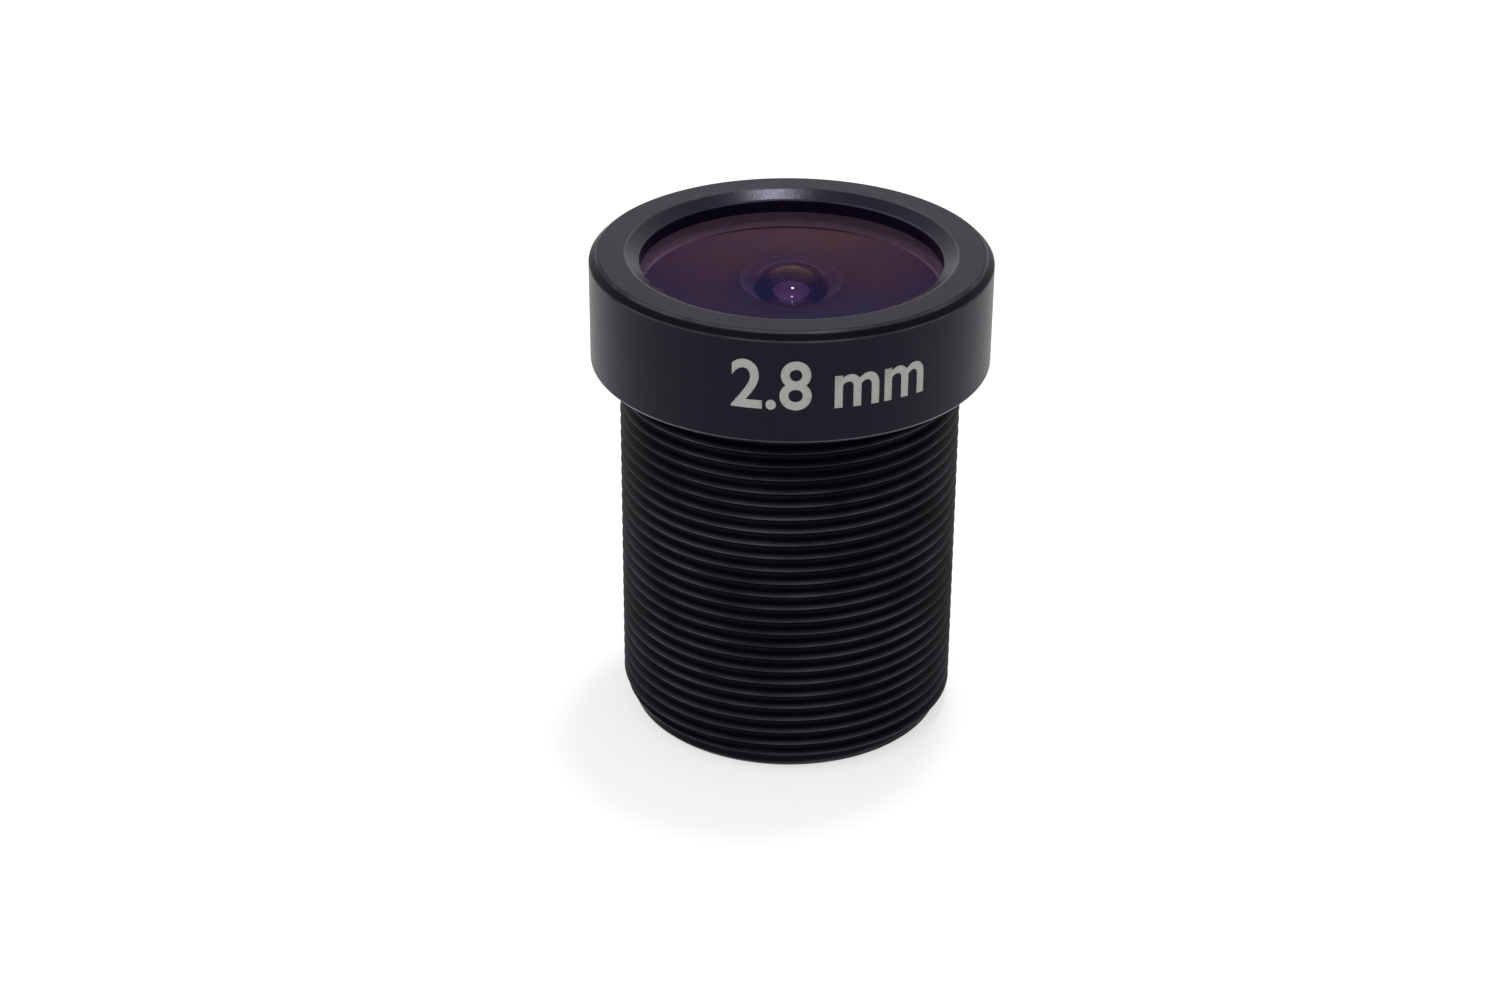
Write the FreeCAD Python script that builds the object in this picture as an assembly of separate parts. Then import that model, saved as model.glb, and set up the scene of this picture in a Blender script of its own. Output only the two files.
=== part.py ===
"""Board camera lens with an M12 x 0.5 barrel, six glass elements and an infrared filter.

Millimetres. +Z points at the scene, and the origin is the centre of the rear face, which the lens stands on.
Every piece is round about Z. Radii are worked out from the thread inwards and outwards, and heights from the
rear face to the front rim, so a change to one piece moves all that it carries.
"""

import math
import os

import FreeCAD
import Part

# Screw thread of the barrel, the turned land below it, and the spigot above it that the cap screws on
THREAD_DIAMETER = 12.0
LAND_STEP = 0.36
LAND_HEIGHT = 0.42
LAND_CHAMFER = 0.14
SPIGOT_STEP = 0.4

# Cap
CAP_WALL = 0.98
CAP_HEIGHT = 4.0
CAP_MOUTH_DEPTH = 0.15
CAP_FRONT_CHAMFER = 0.25
CAP_REAR_CHAMFER = 0.12
RIM_BEVEL_WIDTH = 0.5
RIM_BEVEL_DEPTH = 0.27
LIP_WIDTH = 0.34

# Walls of the barrel, from the crest of the thread to each bore, and the web between the bores
FRONT_WALL = 1.8
REAR_WALL = 2.1
FILTER_WALL = 1.5
WEB_WIDTH = 0.7
WEB_THICKNESS = 0.3
MOUTH_CHAMFER = 0.12

# Front element: a shallow dome in front, thin glass on the axis and a deep hollow behind
FRONT_LENS_CENTRE = 0.52
FRONT_LENS_DOME = 0.34
FRONT_LENS_RECESS = 0.44
HOLLOW_DIAMETER = 4.12
HOLLOW_DEPTH = 1.89

# Elements behind it: thickness at the edge, width of the seat round each clear face, and the depth of a curve
SECOND_LENS_EDGE = 1.34
SECOND_LENS_FRONT_SEAT = 0.97
SECOND_LENS_DOME = 1.59
SECOND_LENS_REAR_SEAT = 2.07
SECOND_LENS_HOLLOW = 0.77
THIRD_LENS_EDGE = 1.42
THIRD_LENS_SEAT = 1.57
THIRD_LENS_FRONT_DOME = 0.36
THIRD_LENS_REAR_DOME = 0.2
DOUBLET_EDGE = 3.05
CROWN_SEAT = 1.17
CROWN_DOME = 0.6
CROWN_DEPTH = 2.5
CEMENTED_DOME = 0.9
CEMENT_THICKNESS = 0.02
FLINT_SEAT = 0.97
REAR_LENS_EDGE = 1.15
REAR_LENS_SEAT = 0.97
REAR_LENS_FRONT_DOME = 0.5
REAR_LENS_REAR_DOME = 0.3

# Rings between the elements, stop and seal, and the air between the second element and the rim of the hollow
FRONT_AIR_GAP = 0.139
FRONT_SPACER_HEIGHT = 0.24
STOP_SPACER_HEIGHT = 1.29
MIDDLE_SPACER_HEIGHT = 0.9
REAR_SPACER_HEIGHT = 1.1
LIGHT_SHIELD_THICKNESS = 0.1
STOP_THICKNESS = 0.1
STOP_APERTURE = 2.1
SEAL_THICKNESS = 0.25
SEAL_MARGIN = 0.3

# Rear end
REAR_RING_HEIGHT = 0.85
REAR_RING_SLOT_DEPTH = 0.4
FILTER_GAP = 0.35
FILTER_THICKNESS = 0.3
FILTER_RING_HEIGHT = 0.55
FILTER_RING_WIDTH = 0.55
FILTER_RING_SLOT_DEPTH = 0.3
SPANNER_SLOT_WIDTH = 0.8
REAR_RECESS = 0.35

# Radial clearances: rings beside a curved face, pieces in a bore, and a screwed joint
FACE_CLEARANCE = 0.1
BORE_CLEARANCE = 0.03
SCREW_CLEARANCE = 0.02

# Radii of the outside, from the crest of the thread
BARREL_R = THREAD_DIAMETER / 2
CAP_MOUTH_R = BARREL_R + SCREW_CLEARANCE
CAP_R = CAP_MOUTH_R + CAP_WALL
LAND_R = BARREL_R - LAND_STEP
SPIGOT_R = BARREL_R - SPIGOT_STEP
CAP_SCREW_R = SPIGOT_R + SCREW_CLEARANCE
FRONT_LENS_R = CAP_SCREW_R - BORE_CLEARANCE
WINDOW_R = FRONT_LENS_R - LIP_WIDTH

# Radii of the bores, of what they hold, and of the curved faces
FRONT_BORE_R = BARREL_R - FRONT_WALL
REAR_BORE_R = BARREL_R - REAR_WALL
FILTER_BORE_R = BARREL_R - FILTER_WALL
FRONT_STACK_R = FRONT_BORE_R - BORE_CLEARANCE
REAR_STACK_R = REAR_BORE_R - BORE_CLEARANCE
FILTER_R = FILTER_BORE_R - BORE_CLEARANCE
HOLLOW_R = HOLLOW_DIAMETER / 2
SECOND_LENS_FRONT_R = FRONT_STACK_R - SECOND_LENS_FRONT_SEAT
SECOND_LENS_REAR_R = FRONT_STACK_R - SECOND_LENS_REAR_SEAT
THIRD_LENS_R = FRONT_STACK_R - THIRD_LENS_SEAT
CROWN_R = REAR_STACK_R - CROWN_SEAT
FLINT_R = REAR_STACK_R - FLINT_SEAT
REAR_LENS_R = REAR_STACK_R - REAR_LENS_SEAT


def sphere_radius(edge_r, depth):
    """Radius of the sphere that a curved face is ground to, from its edge's radius and its depth."""
    return (edge_r**2 + depth**2) / (2 * depth)


def dome_height(edge_r, depth, r):
    """How far a domed face stands above its edge at distance r from the axis."""
    radius = sphere_radius(edge_r, depth)
    return depth - radius + math.sqrt(radius**2 - r**2)


# Heights above the rear face, from the rear of each piece
Z_FILTER_RING = REAR_RECESS
Z_FILTER = Z_FILTER_RING + FILTER_RING_HEIGHT
Z_LEDGE = Z_FILTER + FILTER_THICKNESS
Z_REAR_RING = Z_LEDGE + FILTER_GAP
Z_REAR_LENS = Z_REAR_RING + REAR_RING_HEIGHT
Z_REAR_SPACER = Z_REAR_LENS + REAR_LENS_EDGE
Z_REAR_SHIELD = Z_REAR_SPACER + REAR_SPACER_HEIGHT
Z_DOUBLET = Z_REAR_SHIELD + LIGHT_SHIELD_THICKNESS
Z_MIDDLE_SPACER = Z_DOUBLET + DOUBLET_EDGE
Z_WEB = Z_MIDDLE_SPACER + MIDDLE_SPACER_HEIGHT
Z_STOP = Z_WEB + WEB_THICKNESS
Z_STOP_SPACER = Z_STOP + STOP_THICKNESS
Z_THIRD_LENS = Z_STOP_SPACER + STOP_SPACER_HEIGHT
Z_FRONT_SPACER = Z_THIRD_LENS + THIRD_LENS_EDGE
Z_FRONT_SHIELD = Z_FRONT_SPACER + FRONT_SPACER_HEIGHT
Z_SECOND_LENS = Z_FRONT_SHIELD + LIGHT_SHIELD_THICKNESS
Z_BAFFLE = Z_SECOND_LENS + SECOND_LENS_EDGE
Z_FRONT_LENS = Z_BAFFLE + dome_height(SECOND_LENS_FRONT_R, SECOND_LENS_DOME, HOLLOW_R) + FRONT_AIR_GAP
Z_SEAL = Z_FRONT_LENS - SEAL_THICKNESS
Z_FRONT_VERTEX = Z_FRONT_LENS + HOLLOW_DEPTH + FRONT_LENS_CENTRE
Z_RIM = Z_FRONT_VERTEX + FRONT_LENS_RECESS
Z_CAP = Z_RIM - CAP_HEIGHT


def turned(*corners):
    """Solid made by turning a closed outline of (r, z) corners once round the axis."""
    outline = [FreeCAD.Vector(r, 0, z) for r, z in corners]
    profile = Part.Face(Part.makePolygon([*outline, outline[0]]))
    return profile.revolve(FreeCAD.Vector(0, 0, 0), FreeCAD.Vector(0, 0, 1), 360)


def disc(r, z_rear, z_front):
    """Solid cylinder between two heights."""
    return Part.makeCylinder(r, z_front - z_rear, FreeCAD.Vector(0, 0, z_rear))


def ring(inner, outer, z_rear, z_front):
    """Plain ring of rectangular section."""
    return turned((inner, z_rear), (outer, z_rear), (outer, z_front), (inner, z_front))


def spanner_ring(inner, outer, z_rear, z_front, slot_depth):
    """Ring with two spanner slots across its rear face."""
    slot = Part.makeBox(
        2 * outer, SPANNER_SLOT_WIDTH, slot_depth, FreeCAD.Vector(-outer, -SPANNER_SLOT_WIDTH / 2, z_rear)
    )
    return ring(inner, outer, z_rear, z_front).cut(slot)


def ball(edge_r, depth, z_vertex, side=1):
    """That sphere, with its vertex in front, or behind where side is -1, and its seam at the far side."""
    radius = sphere_radius(edge_r, depth)
    return Part.makeSphere(
        radius, FreeCAD.Vector(0, 0, z_vertex - side * radius), FreeCAD.Vector(-side, 0, 0)
    )


def dome(edge_r, depth, z_edge, side=1):
    """Curved cap that stands on a flat seat, in front of it, or behind it where side is -1."""
    z_far = z_edge + 2 * side * depth
    return ball(edge_r, depth, z_edge + side * depth, side).common(disc(edge_r, *sorted((z_edge, z_far))))


def lip_cone(r):
    """Height on the cone that touches the front element midway between the window and its edge."""
    touch_r = (WINDOW_R + FRONT_LENS_R) / 2
    radius = sphere_radius(FRONT_LENS_R, FRONT_LENS_DOME)
    slope = touch_r / math.sqrt(radius**2 - touch_r**2)
    z_touch = Z_FRONT_VERTEX - FRONT_LENS_DOME + dome_height(FRONT_LENS_R, FRONT_LENS_DOME, touch_r)
    return z_touch - slope * (r - touch_r)


def front_cap():
    """Screwed cap: smooth head, flat rim, bevel round the window and a lip that clamps the front element."""
    z_mouth = Z_CAP + CAP_MOUTH_DEPTH
    return turned(
        (CAP_MOUTH_R, Z_CAP),
        (CAP_R - CAP_REAR_CHAMFER, Z_CAP),
        (CAP_R, Z_CAP + CAP_REAR_CHAMFER),
        (CAP_R, Z_RIM - CAP_FRONT_CHAMFER),
        (CAP_R - CAP_FRONT_CHAMFER, Z_RIM),
        (WINDOW_R + RIM_BEVEL_WIDTH, Z_RIM),
        (WINDOW_R, Z_RIM - RIM_BEVEL_DEPTH),
        (WINDOW_R, lip_cone(WINDOW_R)),
        (CAP_SCREW_R, lip_cone(CAP_SCREW_R)),
        (CAP_SCREW_R, z_mouth),
        (CAP_MOUTH_R, z_mouth),
    )


def barrel():
    """Barrel with stepped bores either side of a web. Its outside is the crest of the screw thread."""
    web_r = REAR_BORE_R - WEB_WIDTH
    return turned(
        (FILTER_BORE_R + MOUTH_CHAMFER, 0),
        (LAND_R - LAND_CHAMFER, 0),
        (LAND_R, LAND_CHAMFER),
        (LAND_R, LAND_HEIGHT),
        (BARREL_R, LAND_HEIGHT + LAND_STEP),
        (BARREL_R, Z_CAP),
        (SPIGOT_R, Z_CAP),
        (SPIGOT_R, Z_SEAL),
        (FRONT_BORE_R, Z_SEAL),
        (FRONT_BORE_R, Z_STOP),
        (web_r, Z_STOP),
        (web_r, Z_WEB),
        (REAR_BORE_R, Z_WEB),
        (REAR_BORE_R, Z_LEDGE),
        (FILTER_BORE_R, Z_LEDGE),
        (FILTER_BORE_R, MOUTH_CHAMFER),
    )


def front_lens():
    """Large negative element: domed front, flat rear seat and a small deep hollow on the axis."""
    blank = disc(FRONT_LENS_R, Z_FRONT_LENS, Z_FRONT_VERTEX - FRONT_LENS_DOME)
    front = dome(FRONT_LENS_R, FRONT_LENS_DOME, Z_FRONT_VERTEX - FRONT_LENS_DOME)
    return blank.fuse(front).cut(ball(HOLLOW_R, HOLLOW_DEPTH, Z_FRONT_LENS + HOLLOW_DEPTH))


def seal_ring():
    """Flat rubber ring between the barrel's front face and the front element."""
    return ring(FRONT_BORE_R + SEAL_MARGIN, SPIGOT_R - SEAL_MARGIN, Z_SEAL, Z_FRONT_LENS)


def front_baffle():
    """Conical ring between the front element and the second. Its bore runs along the second element's dome, at
    the slope that the dome has at its edge, but comes no nearer the axis than the rim of the hollow."""
    rear_r = SECOND_LENS_FRONT_R + FACE_CLEARANCE
    slope = SECOND_LENS_FRONT_R / (sphere_radius(SECOND_LENS_FRONT_R, SECOND_LENS_DOME) - SECOND_LENS_DOME)
    front_r = max(rear_r - (Z_FRONT_LENS - Z_BAFFLE) / slope, HOLLOW_R + FACE_CLEARANCE)
    return turned(
        (rear_r, Z_BAFFLE),
        (FRONT_STACK_R, Z_BAFFLE),
        (FRONT_STACK_R, Z_FRONT_LENS),
        (front_r, Z_FRONT_LENS),
    )


def second_lens():
    """Negative meniscus: domed front and hollow rear."""
    blank = disc(FRONT_STACK_R, Z_SECOND_LENS, Z_BAFFLE)
    front = dome(SECOND_LENS_FRONT_R, SECOND_LENS_DOME, Z_BAFFLE)
    hollow = ball(SECOND_LENS_REAR_R, SECOND_LENS_HOLLOW, Z_SECOND_LENS + SECOND_LENS_HOLLOW)
    return blank.fuse(front).cut(hollow)


def front_light_shield():
    """Thin black ring behind the second element."""
    return ring(SECOND_LENS_REAR_R + FACE_CLEARANCE, FRONT_STACK_R, Z_FRONT_SHIELD, Z_SECOND_LENS)


def front_spacer():
    """Ring round the front dome of the third element."""
    return ring(THIRD_LENS_R + FACE_CLEARANCE, FRONT_STACK_R, Z_FRONT_SPACER, Z_FRONT_SHIELD)


def third_lens():
    """Biconvex element in front of the stop."""
    blank = disc(FRONT_STACK_R, Z_THIRD_LENS, Z_FRONT_SPACER)
    front = dome(THIRD_LENS_R, THIRD_LENS_FRONT_DOME, Z_FRONT_SPACER)
    rear = dome(THIRD_LENS_R, THIRD_LENS_REAR_DOME, Z_THIRD_LENS, side=-1)
    return blank.fuse([front, rear])


def stop_spacer():
    """Ring that holds the stop against the web."""
    return ring(THIRD_LENS_R + FACE_CLEARANCE, FRONT_STACK_R, Z_STOP_SPACER, Z_THIRD_LENS)


def aperture_stop():
    """Fixed iris: a thin blackened disc with the pupil hole."""
    return ring(STOP_APERTURE / 2, FRONT_STACK_R, Z_STOP, Z_STOP_SPACER)


def middle_spacer():
    """Ring between the web and the cemented pair."""
    return ring(CROWN_R + FACE_CLEARANCE, REAR_STACK_R, Z_MIDDLE_SPACER, Z_WEB)


def doublet_crown():
    """Front half of the cemented pair: biconvex."""
    z_cemented = Z_MIDDLE_SPACER - CROWN_DEPTH + CEMENTED_DOME
    blank = disc(REAR_STACK_R, z_cemented, Z_MIDDLE_SPACER)
    front = dome(CROWN_R, CROWN_DOME, Z_MIDDLE_SPACER)
    rear = dome(REAR_STACK_R, CEMENTED_DOME, z_cemented, side=-1)
    return blank.fuse([front, rear])


def doublet_flint():
    """Rear half of the cemented pair: a cup that holds the crown, with a flat rear face."""
    z_vertex = Z_MIDDLE_SPACER - CROWN_DEPTH - CEMENT_THICKNESS
    blank = disc(REAR_STACK_R, Z_DOUBLET, z_vertex + CEMENTED_DOME)
    return blank.cut(ball(REAR_STACK_R, CEMENTED_DOME, z_vertex, side=-1))


def rear_light_shield():
    """Thin black ring behind the cemented pair."""
    return ring(FLINT_R + FACE_CLEARANCE, REAR_STACK_R, Z_REAR_SHIELD, Z_DOUBLET)


def rear_spacer():
    """Ring between the cemented pair and the rear element."""
    return ring(REAR_LENS_R + FACE_CLEARANCE, REAR_STACK_R, Z_REAR_SPACER, Z_REAR_SHIELD)


def rear_lens():
    """Biconvex rear element."""
    blank = disc(REAR_STACK_R, Z_REAR_LENS, Z_REAR_SPACER)
    front = dome(REAR_LENS_R, REAR_LENS_FRONT_DOME, Z_REAR_SPACER)
    rear = dome(REAR_LENS_R, REAR_LENS_REAR_DOME, Z_REAR_LENS, side=-1)
    return blank.fuse([front, rear])


def rear_retaining_ring():
    """Screwed ring that clamps the rear stack."""
    inner = REAR_LENS_R + FACE_CLEARANCE
    return spanner_ring(inner, REAR_STACK_R, Z_REAR_RING, Z_REAR_LENS, REAR_RING_SLOT_DEPTH)


def infrared_filter():
    """Thin coated glass disc on the ledge behind the stack."""
    return disc(FILTER_R, Z_FILTER, Z_LEDGE)


def filter_ring():
    """Screwed ring that holds the filter on its ledge."""
    inner = FILTER_R - FILTER_RING_WIDTH
    return spanner_ring(inner, FILTER_R, Z_FILTER_RING, Z_FILTER, FILTER_RING_SLOT_DEPTH)


PIECES = (
    front_cap,
    barrel,
    front_lens,
    seal_ring,
    front_baffle,
    second_lens,
    front_light_shield,
    front_spacer,
    third_lens,
    stop_spacer,
    aperture_stop,
    middle_spacer,
    doublet_crown,
    doublet_flint,
    rear_light_shield,
    rear_spacer,
    rear_lens,
    rear_retaining_ring,
    infrared_filter,
    filter_ring,
)

os.makedirs("parts", exist_ok=True)
for piece in PIECES:
    piece().exportStep(f"parts/{piece.__name__}.step")
print(f"overall length {Z_RIM:.2f} mm, thread below the cap {Z_CAP:.2f} mm")
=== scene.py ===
"""Board camera lens: smooth head, threaded barrel, coated glass, rings and rear filter.

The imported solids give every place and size. This file gives their surfaces the real shape and
finish: a right-hand screw thread, rounded edges, polished and coated glass faces, ink on the seats
of the glass, and a printed marking. Lengths in the code are millimetres, and MM turns them into
metres.
"""

import math

import bmesh
import bpy
import numpy as np
from mathutils import Matrix, Vector


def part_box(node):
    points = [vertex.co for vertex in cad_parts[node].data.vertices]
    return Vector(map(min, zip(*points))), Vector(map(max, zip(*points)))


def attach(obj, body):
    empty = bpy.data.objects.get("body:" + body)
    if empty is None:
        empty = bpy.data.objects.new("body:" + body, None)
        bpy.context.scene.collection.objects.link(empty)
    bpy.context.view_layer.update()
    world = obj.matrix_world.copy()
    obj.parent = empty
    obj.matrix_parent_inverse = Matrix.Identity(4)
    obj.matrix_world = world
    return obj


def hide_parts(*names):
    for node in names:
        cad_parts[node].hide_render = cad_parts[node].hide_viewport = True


bl_info = {
    "name": "Board camera lens",
    "version": (1, 0, 0),
    "blender": (4, 5, 0),
    "location": "3D View > Sidebar > Lens",
    "description": "Builds a small screw-in camera lens on its packed solids",
    "category": "Add Mesh",
}

MM = 0.001
TURN = 2 * math.pi

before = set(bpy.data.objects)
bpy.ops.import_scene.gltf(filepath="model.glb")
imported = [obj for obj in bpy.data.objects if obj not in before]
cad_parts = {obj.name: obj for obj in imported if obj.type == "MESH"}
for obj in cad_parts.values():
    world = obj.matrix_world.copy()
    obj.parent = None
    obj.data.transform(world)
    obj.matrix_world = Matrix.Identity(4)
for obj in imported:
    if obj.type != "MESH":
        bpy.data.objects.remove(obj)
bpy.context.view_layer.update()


def linear(code):
    """Scene-linear colour of an sRGB hex code, with an alpha of 1."""
    srgb = np.array([int(code[i : i + 2], 16) for i in (1, 3, 5)]) / 255
    return (*np.where(srgb > 0.04045, ((srgb + 0.055) / 1.055) ** 2.4, srgb / 12.92).tolist(), 1.0)


def box(name):
    """Outer radius, lowest and highest height of a solid, in millimetres."""
    low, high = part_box(name)
    return high.x / MM, low.z / MM, high.z / MM


def length(name, default, description):
    """Length property in millimetres, kept in metres."""
    return bpy.props.FloatProperty(
        name=name,
        description=description,
        default=default * MM,
        min=0,
        precision=5,
        subtype="DISTANCE",
        unit="LENGTH",
    )


def colour(name, code, description):
    """Colour property with an alpha."""
    return bpy.props.FloatVectorProperty(
        name=name,
        description=description,
        size=4,
        default=linear(code),
        min=0,
        max=1,
        subtype="COLOR",
    )


class LensSizes(bpy.types.PropertyGroup):
    """Sizes of the details that the solids leave out"""

    pitch: length("Thread pitch", 0.5, "Distance between two crests of the screw thread")
    thread_depth: length("Thread depth", 0.29, "From a crest to the bottom of the groove")
    crest_width: length("Crest width", 0.07, "Flat left on top of each crest")
    edge: length("Edge radius", 0.05, "How far from a corner its rounding starts")
    ink_margin: length("Ink margin", 0.02, "How far the ink on a seat stays outside the clear face")
    columns: bpy.props.IntProperty(
        name="Columns", default=224, min=48, max=256, description="Steps once round the axis"
    )
    marking: bpy.props.StringProperty(
        name="Marking", default="2.8 mm", description="Plain focal length printed on the head"
    )
    marking_height: length("Marking height", 1.77, "Height of the printed figures")
    marking_width: length("Marking width", 6.72, "Length of the marking round the head")
    marking_angle: bpy.props.FloatProperty(
        name="Marking angle",
        description="Where its middle stands, counted from the +X side",
        default=math.radians(-78.5),
        subtype="ANGLE",
    )


class LensColours(bpy.types.PropertyGroup):
    """Colours of the finishes"""

    head: colour("Head", "#10071B", "Black anodised head")
    # The barrel's black is a darker copy of the head's: painted shade, which darkens the thread's flanks and
    # grooves
    barrel: colour("Barrel", "#0A0710", "Black anodised barrel")
    # Lighter colour on the head's rounded edges: anodising rubbed through, and a painted highlight line
    # along each edge
    wear_and_painted_highlight: colour("Worn edge and painted highlight", "#4A484E", "Anodising worn thin on edges and crests")
    # Lighter colour in patches on the thread crests: anodising rubbed through, and painted glints along the
    # crests
    crest: colour("Worn crest and painted glint", "#4C4A52", "Anodising rubbed thin on the crests of the thread")
    rings: colour("Rings", "#121214", "Black anodised rings")
    ink: colour("Seat ink", "#321A21", "Ink on the seats of the glass")
    # Light colour of the front element's unpainted edge and the outer band of its seat: painted light, which
    # lifts the shade under the head's lip
    painted_light_ground: colour("Ground edge with painted light", "#8C7088", "Bare ground edge of the front element")
    print: colour("Print", "#A3A09C", "Printed figures")
    floor: colour("Floor", "#F4F4F4", "Floor")


# Shapes


def softened(corners, soft, steps=5):
    """Closed outline with rounded corners: each corner gives way to the quadratic curve that leaves
    the line before it and joins the line after it at the distance soft. A point further out on each
    line keeps the flats flat. Returns the points, and for each one how near the middle of a rounding
    it is, from 0 to 1."""
    here = np.asarray(corners, float)
    back = np.roll(here, 1, 0) - here
    ahead = np.roll(here, -1, 0) - here
    back_length = np.linalg.norm(back, axis=1, keepdims=True)
    ahead_length = np.linalg.norm(ahead, axis=1, keepdims=True)
    most = 0.3 * np.minimum(back_length, ahead_length)
    reach = np.minimum(np.broadcast_to(soft, len(here))[:, None], most)
    leave = (here + back / back_length * reach)[:, None]
    join = (here + ahead / ahead_length * reach)[:, None]
    t = np.linspace(0, 1, steps)[:, None]
    middle = here[:, None]
    curve = (1 - t) ** 2 * leave + 2 * t * (1 - t) * middle + t**2 * join
    first = middle + (leave - middle) * 1.5
    last = middle + (join - middle) * 1.5
    points = np.concatenate([first, curve, last], 1).reshape(-1, 2)
    round_part = np.concatenate([[0], 4 * t[:, 0] * (1 - t[:, 0]), [0]])
    return points, (round_part * (reach > 0)).ravel()


def ground_face(edge_r, rise, z_edge, steps=40):
    """Points of a curved glass face from the axis to its edge: z = z_edge + rise - sign(rise) R (1 - cos a)
    at r = R sin a, where R is the radius of the sphere through the vertex and the edge. A rise of 0 is a
    flat face."""
    if rise == 0:
        return np.array([(0, z_edge), (edge_r, z_edge)], float)
    ball = (edge_r**2 + rise**2) / (2 * abs(rise))
    a = np.linspace(0, math.asin(edge_r / ball), steps)
    return np.stack([ball * np.sin(a), z_edge + rise - math.copysign(ball, rise) * (1 - np.cos(a))], 1)


def turned(outline, columns):
    """Grid of an outline carried once round the axis: (r cos a, r sin a, z)."""
    a = np.linspace(0, TURN, columns, endpoint=False)
    r = outline[:, :1]
    z = outline[:, 1:]
    return np.stack([r * np.cos(a), r * np.sin(a), z + 0 * a], -1)


def piece(name, grid, node_names, wear_and_painted_highlight=None, rise=0, rising_rows=0):
    """Object of a grid in millimetres that closes on itself both ways. The last column meets the first,
    and in the first rising_rows rows it meets the point rise rows further up, as a helix does. Faces
    point outwards, points that coincide are merged, and the per-row values give each row its share of rubbed
    anodising and painted highlight."""
    rows, columns = grid.shape[:2]
    index = np.arange(rows * columns).reshape(rows, columns)
    partner = np.arange(rows)
    partner[:rising_rows] = np.minimum(partner[:rising_rows] + rise, rising_rows - 1)
    beside = np.roll(index, -1, 1)
    beside[:, -1] = index[partner, 0]
    faces = np.stack([index, beside, np.roll(beside, -1, 0), np.roll(index, -1, 0)], -1).reshape(-1, 4)
    points = grid.reshape(-1, 3)
    a, b, c, d = (points[faces[:, k]] for k in range(4))
    if np.einsum("ij,ij->", a, np.cross(b, c) + np.cross(c, d)) < 0:
        faces = faces[:, ::-1]
    mesh = bpy.data.meshes.new(name)
    mesh.vertices.add(len(points))
    mesh.vertices.foreach_set("co", (points * MM).astype(np.float32).ravel())
    mesh.loops.add(faces.size)
    mesh.loops.foreach_set("vertex_index", faces.astype(np.int32).ravel())
    mesh.polygons.add(len(faces))
    mesh.polygons.foreach_set("loop_start", np.arange(0, faces.size, 4, dtype=np.int32))
    mesh.update(calc_edges=True)
    if wear_and_painted_highlight is None:
        wear_and_painted_highlight = np.zeros(rows)
    each_point = np.broadcast_to(wear_and_painted_highlight[:, None], (rows, columns)).astype(np.float32)
    wear_and_highlight = mesh.attributes.new("wear_and_highlight", "FLOAT", "POINT")
    wear_and_highlight.data.foreach_set("value", each_point.ravel())
    made = bmesh.new()
    made.from_mesh(mesh)
    bmesh.ops.remove_doubles(made, verts=made.verts, dist=2e-7)
    made.to_mesh(mesh)
    made.free()
    mesh.shade_smooth()
    mesh.set_sharp_from_angle(angle=math.radians(32))
    made = bpy.data.objects.new(name, mesh)
    bpy.context.scene.collection.objects.link(made)
    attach(made, "root")
    if node_names:
        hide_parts(*node_names)
    return made


def face_places(mesh):
    """Distance from the axis in millimetres, and upward part of the normal, of each face."""
    count = len(mesh.polygons)
    centre = np.empty(count * 3, np.float32)
    normal = np.empty(count * 3, np.float32)
    mesh.polygons.foreach_get("center", centre)
    mesh.polygons.foreach_get("normal", normal)
    centre = centre.reshape(-1, 3) / MM
    return np.hypot(centre[:, 0], centre[:, 1]), normal.reshape(-1, 3)[:, 2]


# Materials


def node(tree, kind, inputs=None, **settings):
    """Adds a shader node with its settings. An input is a value, or the output that feeds it."""
    made = tree.nodes.new("ShaderNode" + kind)
    for name, value in settings.items():
        setattr(made, name, value)
    for name, value in (inputs or {}).items():
        if isinstance(value, bpy.types.NodeSocket):
            tree.links.new(value, made.inputs[name])
        else:
            made.inputs[name].default_value = value
    return made


def blank(name):
    """New material with an empty node tree."""
    made = bpy.data.materials.new(name)
    made.use_nodes = True
    made.node_tree.nodes.clear()
    return made, made.node_tree


def seen_directly(tree):
    """Light Path node, and 1 for what the camera, gloss or glass sees."""
    path = node(tree, "LightPath")
    first = node(
        tree,
        "Math",
        {0: path.outputs["Is Camera Ray"], 1: path.outputs["Is Glossy Ray"]},
        operation="ADD",
    )
    both = node(
        tree,
        "Math",
        {0: first.outputs[0], 1: path.outputs["Is Transmission Ray"]},
        operation="ADD",
        use_clamp=True,
    )
    return path, both.outputs[0]


def scaled(base, factor):
    """Colour made lighter or darker by a factor."""
    return (*[min(1.0, part * factor) for part in tuple(base)[:3]], 1.0)


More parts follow.
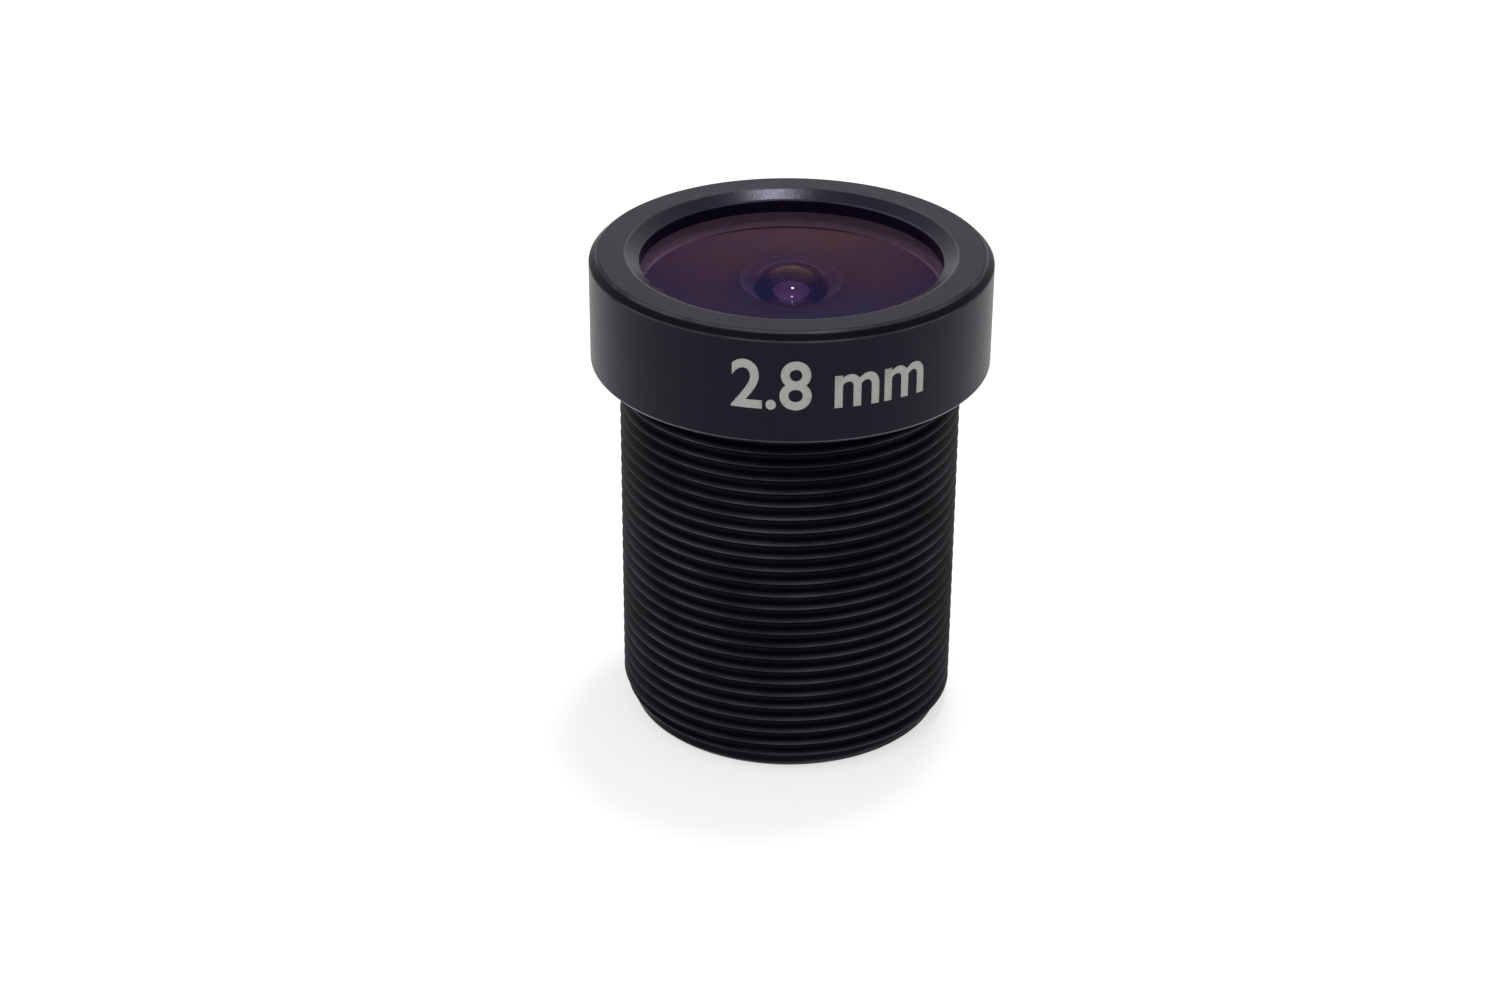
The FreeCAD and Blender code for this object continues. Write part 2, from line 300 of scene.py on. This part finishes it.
def anodised(name, base, wear_and_painted_highlight, roughness, grain, turning, level, mirrored="#FFFFFF"):
    """Turned aluminium, bead-blasted and dyed black under a clear oxide layer: satin, with a fine even
    grain and faint turning lines. Where a piece marks its rows, a lighter colour shows in patches: anodising
    rubbed through, and painted highlights and glints along edges and crests. The oxide is a dielectric, so
    there is no metallic part."""
    made, tree = blank(name)
    place = node(tree, "TexCoord").outputs["Object"]
    # Blast marks are about 0.03 mm, drawn as coarse as the render can show
    blast = node(
        tree,
        "TexNoise",
        {"Vector": place, "Scale": 1 / (grain * MM), "Detail": 2.0, "Roughness": 0.6},
    )
    # Uneven dye over some millimetres
    cloud = node(
        tree,
        "TexNoise",
        {"Vector": place, "Scale": 1 / (2.4 * MM), "Detail": 3.0, "Roughness": 0.55},
    )
    dye = node(tree, "ValToRGB", {"Fac": cloud.outputs["Fac"]})
    dye.color_ramp.elements[0].position = 0.35
    dye.color_ramp.elements[0].color = scaled(base, 0.82)
    dye.color_ramp.elements[1].position = 0.68
    dye.color_ramp.elements[1].color = scaled(base, 1.18)
    # Lighter patches on marked edges and crests: anodising rubbed through, and painted highlights along them
    wear_and_highlight = node(tree, "Attribute", attribute_name="wear_and_highlight", attribute_type="GEOMETRY")
    patch = node(
        tree,
        "MapRange",
        {"Value": cloud.outputs["Fac"], "From Min": 0.35, "From Max": 0.7, "To Min": 0.25, "To Max": 1.0},
    )
    wear_and_highlight_share = node(tree, "Math", {0: wear_and_highlight.outputs["Fac"], 1: patch.outputs["Result"]}, operation="MULTIPLY")
    tone = node(
        tree,
        "Mix",
        {"Factor": wear_and_highlight_share.outputs[0], 6: dye.outputs["Color"], 7: wear_and_painted_highlight},
        data_type="RGBA",
    )
    rough = node(
        tree,
        "MapRange",
        {
            "Value": blast.outputs["Fac"],
            "From Min": 0.3,
            "From Max": 0.7,
            "To Min": roughness * 0.85,
            "To Max": roughness * 1.15,
        },
    )
    # Turning lines of the cutting tool, 0.05 mm apart on the real one and drawn wider, so that they show
    lines = node(
        tree,
        "TexWave",
        {"Vector": place, "Scale": TURN / (20 * 0.13 * MM), "Distortion": 0.4, "Detail": 1.0},
        wave_type="RINGS" if turning == "face" else "BANDS",
        rings_direction="Z",
        bands_direction="Z",
    )
    cut = node(
        tree,
        "Bump",
        {"Height": lines.outputs["Fac"], "Strength": 0.12, "Distance": 0.004 * MM},
    )
    skin = node(
        tree,
        "Bump",
        {
            "Height": blast.outputs["Fac"],
            "Strength": 0.5,
            "Distance": 0.008 * MM,
            "Normal": cut.outputs["Normal"],
        },
    )
    shader = node(
        tree,
        "BsdfPrincipled",
        {
            "Base Color": tone.outputs[2],
            "Roughness": rough.outputs["Result"],
            "Normal": skin.outputs["Normal"],
            "Specular IOR Level": level,
            "Specular Tint": linear(mirrored),
        },
    )
    node(tree, "OutputMaterial", {"Surface": shader.outputs["BSDF"]})
    return made


def coated_glass(name, tint, ior, film, film_ior):
    """Ground and polished optical glass with a vapour-deposited coating, film nanometres thick, which
    colours what it mirrors. The coating is a little thicker in places, so its colour drifts faintly
    across the face."""
    made, tree = blank(name)
    place = node(tree, "TexCoord").outputs["Object"]
    drift = node(tree, "TexNoise", {"Vector": place, "Scale": 1 / (2.5 * MM), "Detail": 2.0})
    layer = node(
        tree,
        "MapRange",
        {
            "Value": drift.outputs["Fac"],
            "From Min": 0.3,
            "From Max": 0.7,
            "To Min": film * 0.96,
            "To Max": film * 1.04,
        },
    )
    shader = node(
        tree,
        "BsdfPrincipled",
        {
            "Base Color": linear(tint),
            "Roughness": 0.0,
            "IOR": ior,
            "Transmission Weight": 1.0,
            "Thin Film Thickness": layer.outputs["Result"],
            "Thin Film IOR": film_ior,
        },
    )
    node(tree, "OutputMaterial", {"Surface": shader.outputs["BSDF"]})
    return made


def matt(name, base, roughness, grain, depth, level, spread=0.15):
    """Dull surface with a fine even grain: its colour, polish and height follow one noise."""
    made, tree = blank(name)
    place = node(tree, "TexCoord").outputs["Object"]
    speck = node(
        tree,
        "TexNoise",
        {"Vector": place, "Scale": 1 / (grain * MM), "Detail": 3.0, "Roughness": 0.6},
    )
    tone = node(tree, "ValToRGB", {"Fac": speck.outputs["Fac"]})
    tone.color_ramp.elements[0].position = 0.3
    tone.color_ramp.elements[0].color = scaled(base, 1 - spread)
    tone.color_ramp.elements[1].position = 0.7
    tone.color_ramp.elements[1].color = scaled(base, 1 + spread)
    rough = node(
        tree,
        "MapRange",
        {
            "Value": speck.outputs["Fac"],
            "From Min": 0.3,
            "From Max": 0.7,
            "To Min": roughness * 0.9,
            "To Max": min(1.0, roughness * 1.1),
        },
    )
    bump = node(tree, "Bump", {"Height": speck.outputs["Fac"], "Strength": 0.6, "Distance": depth * MM})
    shader = node(
        tree,
        "BsdfPrincipled",
        {
            "Base Color": tone.outputs["Color"],
            "Roughness": rough.outputs["Result"],
            "Normal": bump.outputs["Normal"],
            "Specular IOR Level": level,
        },
    )
    node(tree, "OutputMaterial", {"Surface": shader.outputs["BSDF"]})
    return made


# Operators


class LENS_OT_head(bpy.types.Operator):
    """Build the smooth head with its rim, bevel, lip and screwed bore"""

    bl_idname = "lens.head"
    bl_label = "Head"

    def execute(self, context):
        sizes = context.scene.lens_sizes
        colours = context.scene.lens_colours
        head_r, z_mouth, z_rim = box("front_cap")
        glass_r, _, z_glass = box("front_lens")
        # Sizes that the solid's box doesn't give
        window_r = glass_r - 0.34
        mouth_r = 6.02
        mouth_depth = 0.15
        screw_r = 5.62
        rear_chamfer = 0.12
        front_chamfer = 0.25
        bevel_width = 0.5
        bevel_depth = 0.27
        edge = sizes.edge / MM
        corners = [
            (mouth_r, z_mouth, 0.04),
            (head_r - rear_chamfer, z_mouth, 0.03),
            (head_r, z_mouth + rear_chamfer, 0.04),
            (head_r, z_rim - front_chamfer, edge),
            (head_r - front_chamfer, z_rim, 2 * edge),
            (window_r + bevel_width, z_rim, edge),
            (window_r, z_rim - bevel_depth, edge),
            (window_r, z_glass - 0.295, 0.02),
            (screw_r, z_glass - 0.335, 0),
            (screw_r, z_mouth + mouth_depth, 0),
            (mouth_r, z_mouth + mouth_depth, 0),
        ]
        # Each rounded corner takes the lighter edge colour towards its middle: anodising rubbed through, and
        # a painted highlight line along the edge
        outline, wear_and_painted_highlight = softened([corner[:2] for corner in corners], [corner[2] for corner in corners])
        made = piece("head", turned(outline, sizes.columns), ["front_cap"], wear_and_painted_highlight)
        # The freshly cut bevel and lower edge are smoother and mirror a little bluer than the blasted rest
        cut_mirror = "#E9E4FF"
        head = colours.head
        wear_and_highlight_tone = colours.wear_and_painted_highlight
        finishes = (
            anodised("black_anodised_aluminium_head", head, wear_and_highlight_tone, 0.36, 0.09, "face", 0.12),
            anodised("smooth_cut_anodised_bevel", head, wear_and_highlight_tone, 0.24, 0.09, "face", 0.15, cut_mirror),
            # The front chamfer takes the barrel's darker black and mirrors little: a painted dark
            # reflection, a dark band as if it mirrored dark surroundings
            anodised("chamfer_with_painted_dark_reflection", colours.barrel, wear_and_highlight_tone, 0.4, 0.09, "face", 0.04),
            anodised("bright_cut_lower_edge", head, wear_and_highlight_tone, 0.3, 0.09, "face", 0.5, cut_mirror),
        )
        for finish in finishes:
            made.data.materials.append(finish)
        distance, up = face_places(made.data)
        bevel = (distance > window_r) & (distance < window_r + bevel_width - 0.01) & (up > 0.5)
        chamfer = (distance > head_r - front_chamfer - 0.08) & (up > 0.1)
        lower = (distance > head_r - rear_chamfer - 0.02) & (up < -0.2)
        which = bevel + 2 * chamfer + 3 * lower
        made.data.polygons.foreach_set("material_index", which.astype(np.int32))
        return {"FINISHED"}


class LENS_OT_barrel(bpy.types.Operator):
    """Build the barrel with its right-hand screw thread, plain lead and stepped bores"""

    bl_idname = "lens.barrel"
    bl_label = "Threaded barrel"

    def execute(self, context):
        sizes = context.scene.lens_sizes
        colours = context.scene.lens_colours
        crest_r, z_rear, z_front = box("barrel")
        _, z_shoulder, _ = box("front_cap")
        _, _, z_ledge = box("infrared_filter")
        z_web = box("middle_spacer")[2]
        z_stop = box("aperture_stop")[1]
        pitch = sizes.pitch / MM
        depth = sizes.thread_depth / MM
        crest = sizes.crest_width / MM / 2 / pitch
        # One pitch of the profile, from a crest to the next: rounded crest, straight flanks, round root
        rounded = np.array([-1, -0.4, 0.4, 1]) * crest
        step = np.append(rounded, [0.2, 0.32, 0.41, 0.47, 0.53, 0.59, 0.68, 0.8])
        level = np.array([0.07, 0, 0, 0.07, 0.45, 0.82, 0.97, 1, 1, 0.97, 0.82, 0.45])
        # Crest rows take the lighter crest colour in patches: anodising rubbed through, and painted glints
        # along the crests
        wear_and_highlight = np.array([0.5, 1, 1, 0.5, 0, 0, 0, 0, 0, 0, 0, 0])
        turns = np.arange(-3, math.ceil(z_shoulder / pitch) + 1)
        a = np.linspace(0, TURN, sizes.columns, endpoint=False)
        # Height of the crest on the +X side, which puts a crest where the front of the real one has it
        z_phase = 0.295
        u = (turns[:, None] + step).ravel()
        z = np.clip(z_phase + pitch * (u[:, None] + a / TURN), z_rear, z_shoulder)
        turn_part = (z - z_phase) / pitch - a / TURN
        groove = np.interp(turn_part % 1, np.append(step, 1 - crest), np.append(level, 0.07))
        # Plain turned lead at the rear, then a cone that the thread runs out on
        lead = np.interp(z - z_rear, [0, 0.14, 0.42, 0.80], [5.5, 5.64, 5.64, 6.02])
        r = np.minimum(crest_r - depth * groove, lead)
        thread = np.stack([r * np.cos(a), r * np.sin(a), z], -1)
        rest = np.array(
            [
                (5.6, z_shoulder),
                (5.6, z_front),
                (4.2, z_front),
                (4.2, z_stop),
                (3.2, z_stop),
                (3.2, z_web),
                (3.9, z_web),
                (3.9, z_ledge),
                (4.5, z_ledge),
                (4.5, z_rear + 0.12),
                (4.53, z_rear + 0.05),
                (4.62, z_rear),
                (4.68, z_rear),
                (5.4, z_rear),
            ]
        )
        grid = np.concatenate([thread, turned(rest, sizes.columns)], 0)
        wear_and_painted_highlight = np.concatenate([np.tile(wear_and_highlight, len(turns)), np.zeros(len(rest))])
        made = piece(
            "threaded_barrel",
            grid,
            ["barrel"],
            wear_and_painted_highlight,
            rise=len(step),
            rising_rows=len(thread),
        )
        # The barrel's darker black is painted shade on the thread's flanks and grooves, and the crest colour
        # paints glints along the crests as well as rubbed anodising
        finish = anodised(
            "black_anodised_aluminium_thread", colours.barrel, colours.crest, 0.34, 0.08, "side", 0.05
        )
        made.data.materials.append(finish)
        return {"FINISHED"}


# Clear faces of each element: radius and rise of the front, radius and rise of the rear, glass index,
# tint, and the thickness in nanometres and index of its coating
ELEMENTS = {
    "front_lens": (5.59, 0.34, 2.06, 1.89, 1.6, "#FFFFFF", 187.0, 1.165),
    "second_lens": (3.2, 1.59, 2.1, 0.77, 1.62, "#FFFDFF", 62.0, 2.1),
    "third_lens": (2.6, 0.36, 2.6, -0.2, 1.7, "#FFFFFD", 162.0, 2.1),
    "doublet_crown": (2.7, 0.6, 3.87, -0.9, 1.6, "#FFFFFF", 120.0, 1.28),
    "doublet_flint": (3.87, -0.9, 2.9, 0.0, 1.75, "#FFFEF8", 120.0, 1.32),
    "rear_lens": (2.9, 0.5, 2.9, -0.3, 1.6, "#FFFFFF", 128.0, 1.28),
}


class LENS_OT_glass(bpy.types.Operator):
    """Grind the six glass elements, with dark ink on their seats. On the front one the edge and the outer
    band of the seat take a light colour instead of ink: painted light, which lifts the shade under the
    head's lip
    """

    bl_idname = "lens.glass"
    bl_label = "Glass elements"

    def execute(self, context):
        sizes = context.scene.lens_sizes
        colours = context.scene.lens_colours
        ink = matt("dark_seat_ink", colours.ink, 0.6, 0.25, 0.002, 0.2, 0.1)
        # Light colour of the front element's unpainted edge: painted light, lifting the shade under the
        # head's lip
        painted_light_ground = matt("ground_glass_edge_with_painted_light", colours.painted_light_ground, 0.7, 0.25, 0.002, 0.2, 0.1)
        margin = sizes.ink_margin / MM
        # Seats stay a hair inside the solid, so that they don't meet the rings that they rest on
        hair = 0.03
        # Outer band of each seat, which on the front element takes the light edge colour: painted light
        # against the shade under the head's lip
        painted_light_band = 0.55
        for name, element in ELEMENTS.items():
            front_r, front_rise, rear_r, rear_rise, ior, tint, film, film_ior = element
            outer_r, z_low, z_high = box(name)
            z_front = z_high - max(front_rise, 0) - hair
            z_rear = z_low - min(rear_rise, 0) + hair
            front = ground_face(front_r, front_rise, z_front, 48)
            rear = ground_face(rear_r, rear_rise, z_rear, 48)[::-1]
            seat = [(outer_r, z_rear), (outer_r - painted_light_band, z_rear)]
            parts = [front, [(outer_r, z_front)], seat, rear]
            if front_r == outer_r:
                parts.pop(1)
            if rear_r == outer_r:
                parts.pop(-2)
            corners = np.concatenate([np.asarray(part, float) for part in parts])
            soft = np.where(corners[:, 0] > outer_r - 1e-6, 0.05, 0.0)
            outline, _ = softened(corners, soft, 4)
            made = piece(f"{name}_glass", turned(outline, 192), [name])
            made.data.materials.append(coated_glass(f"coated_glass_{name}", tint, ior, film, film_ior))
            made.data.materials.append(ink)
            made.data.materials.append(painted_light_ground)
            distance, up = face_places(made.data)
            inked = np.where(up > 0.5, distance > front_r + margin, distance > rear_r + margin)
            # The front element's edge and outer seat band: painted light
            painted_light_faces = inked & (distance > outer_r - painted_light_band) & (name == "front_lens")
            which = np.where(painted_light_faces, 2, inked)
            made.data.polygons.foreach_set("material_index", which.astype(np.int32))
        return {"FINISHED"}


class LENS_OT_filter(bpy.types.Operator):
    """Cut the infrared filter disc"""

    bl_idname = "lens.filter"
    bl_label = "Infrared filter"

    def execute(self, context):
        outer_r, z_rear, z_front = box("infrared_filter")
        corners = [(0, z_front), (outer_r, z_front), (outer_r, z_rear), (0, z_rear)]
        outline, _ = softened(corners, [0, 0.03, 0.03, 0])
        made = piece("infrared_filter_glass", turned(outline, 192), ["infrared_filter"])
        # Many thin layers block the infrared, and mirror red at a slant and let a cyan tint through
        made.data.materials.append(coated_glass("dichroic_filter_glass", "#D8FFFB", 1.52, 520.0, 1.58))
        return {"FINISHED"}


def slotted(inner, outer, z_rear, z_front, slot_width, slot_depth, land_steps=56, slot_steps=7):
    """Grid of a ring with two slots across its rear face. Columns run over slot, land, slot, land. In a
    slot the rear rows rise to its floor, and the slot's edge stands at the angle asin(half its width / r)
    on every row, so its walls are straight and parallel. Edges have a small chamfer."""
    c = 0.04
    z_slot = z_rear + slot_depth
    rows = np.array(
        [
            (inner + c, z_rear),
            (outer - c, z_rear),
            (outer, z_rear + c),
            (outer, z_slot),
            (outer, z_front - c),
            (outer - c, z_front),
            (inner + c, z_front),
            (inner, z_front - c),
            (inner, z_slot),
            (inner, z_rear + c),
        ]
    )
    r = rows[:, :1]
    half = np.arcsin(slot_width / 2 / r)
    across = np.linspace(-1, 1, slot_steps)
    along = np.linspace(0, 1, land_steps)
    slot = half * across
    land = half + (math.pi - 2 * half) * along
    angle = np.concatenate([slot, land, slot + math.pi, land + math.pi], 1)
    z = rows[:, 1:]
    raised = np.maximum(z, z_slot) + 0 * slot
    level = z + 0 * land
    height = np.concatenate([raised, level, raised, level], 1)
    return np.stack([r * np.cos(angle), r * np.sin(angle), height], -1)


class LENS_OT_rear_rings(bpy.types.Operator):
    """Build the two screwed rings at the rear, with their spanner slots"""

    bl_idname = "lens.rear_rings"
    bl_label = "Rear rings"

    def execute(self, context):
        colours = context.scene.lens_colours
        finish = anodised("matt_anodised_rear_rings", colours.rings, colours.wear_and_painted_highlight, 0.5, 0.08, "face", 0.25)
        for name, inner, slot_depth in (("filter_ring", 3.92, 0.3), ("rear_retaining_ring", 3.0, 0.4)):
            outer_r, z_rear, z_front = box(name)
            grid = slotted(inner, outer_r, z_rear, z_front, 0.8, slot_depth)
            made = piece(f"{name}_turned", grid, [name], np.zeros(len(grid)))
            made.data.materials.append(finish)
        return {"FINISHED"}


class LENS_OT_baffle(bpy.types.Operator):
    """Turn the conical baffle with its fine light-trapping steps"""

    bl_idname = "lens.baffle"
    bl_label = "Front baffle"

    def execute(self, context):
        colours = context.scene.lens_colours
        outer_r, z_rear, z_front = box("front_baffle")
        # The cone from the wide rear to the narrow front, cut into small stairs
        steps = 9
        wide_r = 3.3
        narrow_r = 2.42
        t = np.linspace(0, 1, steps + 1)
        r = wide_r + (narrow_r - wide_r) * t
        z = z_rear + (z_front - z_rear) * t
        stair = np.stack([np.repeat(r, 2)[:-1], np.repeat(z, 2)[1:]], 1)
        corners = np.concatenate([[(outer_r, z_rear), (outer_r, z_front)], stair[::-1]])
        outline, _ = softened(corners, [0.04] * 2 + [0.0] * len(stair))
        made = piece("front_baffle_turned", turned(outline, 160), ["front_baffle"])
        made.data.materials.append(
            anodised("matt_anodised_baffle", colours.rings, colours.wear_and_painted_highlight, 0.6, 0.1, "side", 0.2)
        )
        return {"FINISHED"}


class LENS_OT_inner_rings(bpy.types.Operator):
    """Give the spacers, light shields, stop and seal their finishes"""

    bl_idname = "lens.inner_rings"
    bl_label = "Inner rings"

    def execute(self, context):
        colours = context.scene.lens_colours
        spacer = anodised("matt_anodised_spacer", colours.rings, colours.rings, 0.6, 0.1, "side", 0.2)
        film = matt("matt_black_polyester_film", linear("#0E0E10"), 0.7, 0.05, 0.002, 0.3)
        steel = matt("blackened_spring_steel", linear("#111113"), 0.45, 0.08, 0.002, 0.4)
        rubber = matt("nitrile_rubber_seal", linear("#141414"), 0.8, 0.06, 0.006, 0.3)
        finishes = {
            "front_spacer": spacer,
            "stop_spacer": spacer,
            "middle_spacer": spacer,
            "rear_spacer": spacer,
            "front_light_shield": film,
            "rear_light_shield": film,
            "aperture_stop": steel,
            "seal_ring": rubber,
        }
        for name, finish in finishes.items():
            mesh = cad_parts[name].data
            mesh.materials.clear()
            mesh.materials.append(finish)
        return {"FINISHED"}


class LENS_OT_marking(bpy.types.Operator):
    """Print the plain focal length on the head"""

    bl_idname = "lens.marking"
    bl_label = "Marking"

    def execute(self, context):
        sizes = context.scene.lens_sizes
        colours = context.scene.lens_colours
        head_r = box("front_cap")[0]
        text = bpy.data.curves.new("marking", "FONT")
        text.body = sizes.marking
        text.size = 1.0
        text.offset = 0.016
        text.resolution_u = 6
        flat = bpy.data.objects.new("marking_flat", text)
        context.scene.collection.objects.link(flat)
        context.view_layer.update()
        mesh = bpy.data.meshes.new_from_object(flat)
        bpy.data.objects.remove(flat)
        mesh.name = "marking"
        count = len(mesh.vertices)
        points = np.empty(count * 3)
        mesh.vertices.foreach_get("co", points)
        points = points.reshape(-1, 3)
        low = points.min(0)
        high = points.max(0)
        points[:, 0] = ((points[:, 0] - low[0]) / (high[0] - low[0]) - 0.5) * sizes.marking_width
        points[:, 1] = (points[:, 1] - low[1]) / (high[1] - low[1]) * sizes.marking_height
        mesh.vertices.foreach_set("co", points.ravel())
        made = bmesh.new()
        made.from_mesh(mesh)
        bmesh.ops.remove_doubles(made, verts=made.verts, dist=1e-7)
        # Cuts across the flat figures, so that they bend smoothly round the head
        for cut in np.arange(-3.3, 3.4, 0.2):
            bmesh.ops.bisect_plane(
                made,
                geom=[*made.verts, *made.edges, *made.faces],
                plane_co=(float(cut) * MM, 0, 0),
                plane_no=(1, 0, 0),
            )
        made.to_mesh(mesh)
        made.free()
        points = np.empty(len(mesh.vertices) * 3)
        mesh.vertices.foreach_get("co", points)
        points = points.reshape(-1, 3)
        # Wrapped on the head: x runs round it as an angle, and y goes up it from the foot of the figures
        r = (head_r + 0.004) * MM
        z_foot = 14.8 * MM
        angle = sizes.marking_angle + points[:, 0] / r
        z = z_foot + points[:, 1]
        wrapped = np.stack([r * np.cos(angle), r * np.sin(angle), z], -1)
        mesh.vertices.foreach_set("co", wrapped.ravel())
        mesh.update()
        printed = bpy.data.objects.new("marking", mesh)
        context.scene.collection.objects.link(printed)
        layer = printed.modifiers.new("ink_layer", "SOLIDIFY")
        layer.thickness = 0.012 * MM
        layer.offset = 1
        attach(printed, "root")
        mesh.materials.clear()
        mesh.materials.append(matt("pad_printed_off_white_ink", colours.print, 0.6, 0.07, 0.003, 0.3, 0.12))
        return {"FINISHED"}


class LENS_OT_stage(bpy.types.Operator):
    """Set up the floor, the lamps, the background and the camera"""

    bl_idname = "lens.stage"
    bl_label = "Stage"

    def execute(self, context):
        scene = context.scene
        colours = scene.lens_colours
        scene.view_settings.view_transform = "Standard"

        # Floor: a disc that looks white where it is lit, and keeps the shadow
        a = np.linspace(0, TURN, 96, endpoint=False)
        ring = np.stack([0.7 * np.cos(a), 0.7 * np.sin(a), 0 * a - 2e-6], 1)
        mesh = bpy.data.meshes.new("floor")
        mesh.from_pydata(ring.tolist(), [], [list(range(96))])
        floor = bpy.data.objects.new("floor", mesh)
        scene.collection.objects.link(floor)
        paint, tree = blank("white_paper_floor")
        place = node(tree, "TexCoord").outputs["Object"]
        fibre = node(tree, "TexNoise", {"Vector": place, "Scale": 1 / (0.4 * MM), "Detail": 3.0})
        tooth = node(tree, "Bump", {"Height": fibre.outputs["Fac"], "Strength": 0.1, "Distance": 0.01 * MM})
        lit = node(
            tree,
            "BsdfDiffuse",
            {"Color": scaled(colours.floor, 0.55), "Normal": tooth.outputs["Normal"]},
        )
        glow = node(tree, "Emission", {"Color": (1, 1, 1, 1), "Strength": 0.6})
        seen = node(tree, "AddShader", {0: lit.outputs[0], 1: glow.outputs[0]})
        plain = node(tree, "BsdfDiffuse", {"Color": tuple(colours.floor), "Normal": tooth.outputs["Normal"]})
        _, seen_part = seen_directly(tree)
        mix = node(tree, "MixShader", {0: seen_part, 1: plain.outputs[0], 2: seen.outputs[0]})
        node(tree, "OutputMaterial", {"Surface": mix.outputs[0]})
        mesh.materials.append(paint)

        # White surround in what the camera, gloss and glass see, and plain soft light on the object
        world = bpy.data.worlds.new("white_room")
        world.use_nodes = True
        tree = world.node_tree
        tree.nodes.clear()
        path, seen_part = seen_directly(tree)
        soft = node(tree, "Background", {"Color": (0.97, 0.98, 1.0, 1), "Strength": 0.7})
        # What the inner elements mirror has passed three glass faces or more. There the room is a dim
        # violet, so that the small lamp stands out in the glass
        deep = node(
            tree,
            "Math",
            {0: path.outputs["Transmission Depth"], 1: 2.5},
            operation="GREATER_THAN",
        )
        room = node(
            tree,
            "Mix",
            {"Factor": deep.outputs[0], 6: (1, 1, 1, 1), 7: (0.17, 0.06, 0.18, 1)},
            data_type="RGBA",
        )
        white = node(tree, "Background", {"Color": room.outputs[2], "Strength": 1.0})
        mix = node(tree, "MixShader", {0: seen_part, 1: soft.outputs[0], 2: white.outputs[0]})
        node(tree, "OutputWorld", {"Surface": mix.outputs[0]})
        scene.world = world

        # One small lamp almost overhead and a large soft one
        focus = Vector((0, 0, 17 * MM))
        for name, direction, distance, size, watts in (
            ("ceiling_lamp", (0.087, 0.206, 0.975), 0.6, 0.1, 1.4),
            ("soft_box", (-0.5, -0.45, 0.75), 0.5, 0.45, 0.4),
        ):
            light = bpy.data.lights.new(name, "AREA")
            light.shape = "DISK"
            light.size = size
            light.energy = watts
            lamp = bpy.data.objects.new(name, light)
            # Of the two, only the small lamp is seen through glass and so mirrored inside it
            lamp.visible_transmission = name == "ceiling_lamp"
            back = Vector(direction).normalized()
            lamp.location = focus + back * distance
            lamp.rotation_mode = "QUATERNION"
            lamp.rotation_quaternion = back.to_track_quat("Z", "Y")
            scene.collection.objects.link(lamp)

        # Camera fitted to the photograph's thread, rim and outline, on a full-frame sensor
        place = Vector((0, -91.818, 56.55)) * MM
        aim = Vector((-1.383, 0, 7.73)) * MM
        ahead = (aim - place).normalized()
        side = ahead.cross(Vector((0, 0, 1))).normalized()
        top = side.cross(ahead)
        roll = math.radians(0.346)
        right = side * math.cos(roll) + top * math.sin(roll)
        up = top * math.cos(roll) - side * math.sin(roll)
        data = bpy.data.cameras.new("camera")
        data.sensor_width = 36
        data.lens = 69.24
        data.clip_start = 0.001
        data.clip_end = 10
        camera = bpy.data.objects.new("camera", data)
        turn = Matrix((right, up, -ahead)).transposed().to_4x4()
        camera.matrix_world = Matrix.Translation(place) @ turn
        scene.collection.objects.link(camera)
        scene.camera = camera
        return {"FINISHED"}


class LENS_PT_panel(bpy.types.Panel):
    """Lists the steps that build the lens, in order"""

    bl_label = "Board camera lens"
    bl_idname = "LENS_PT_panel"
    bl_space_type = "VIEW_3D"
    bl_region_type = "UI"
    bl_category = "Lens"

    def draw(self, context):
        for step in STEPS:
            self.layout.operator(step.bl_idname)
        for group in (context.scene.lens_sizes, context.scene.lens_colours):
            for name in group.bl_rna.properties.keys():
                if name not in ("rna_type", "name"):
                    self.layout.prop(group, name)


STEPS = (
    LENS_OT_stage,
    LENS_OT_head,
    LENS_OT_barrel,
    LENS_OT_glass,
    LENS_OT_filter,
    LENS_OT_rear_rings,
    LENS_OT_baffle,
    LENS_OT_inner_rings,
    LENS_OT_marking,
)
CLASSES = (LensSizes, LensColours, *STEPS, LENS_PT_panel)


def register():
    for item in CLASSES:
        bpy.utils.register_class(item)
    bpy.types.Scene.lens_sizes = bpy.props.PointerProperty(type=LensSizes)
    bpy.types.Scene.lens_colours = bpy.props.PointerProperty(type=LensColours)


def unregister():
    del bpy.types.Scene.lens_colours
    del bpy.types.Scene.lens_sizes
    for item in reversed(CLASSES):
        bpy.utils.unregister_class(item)


def main():
    register()
    for step in STEPS:
        group, name = step.bl_idname.split(".")
        getattr(getattr(bpy.ops, group), name)()


if __name__ == "__main__":
    main()
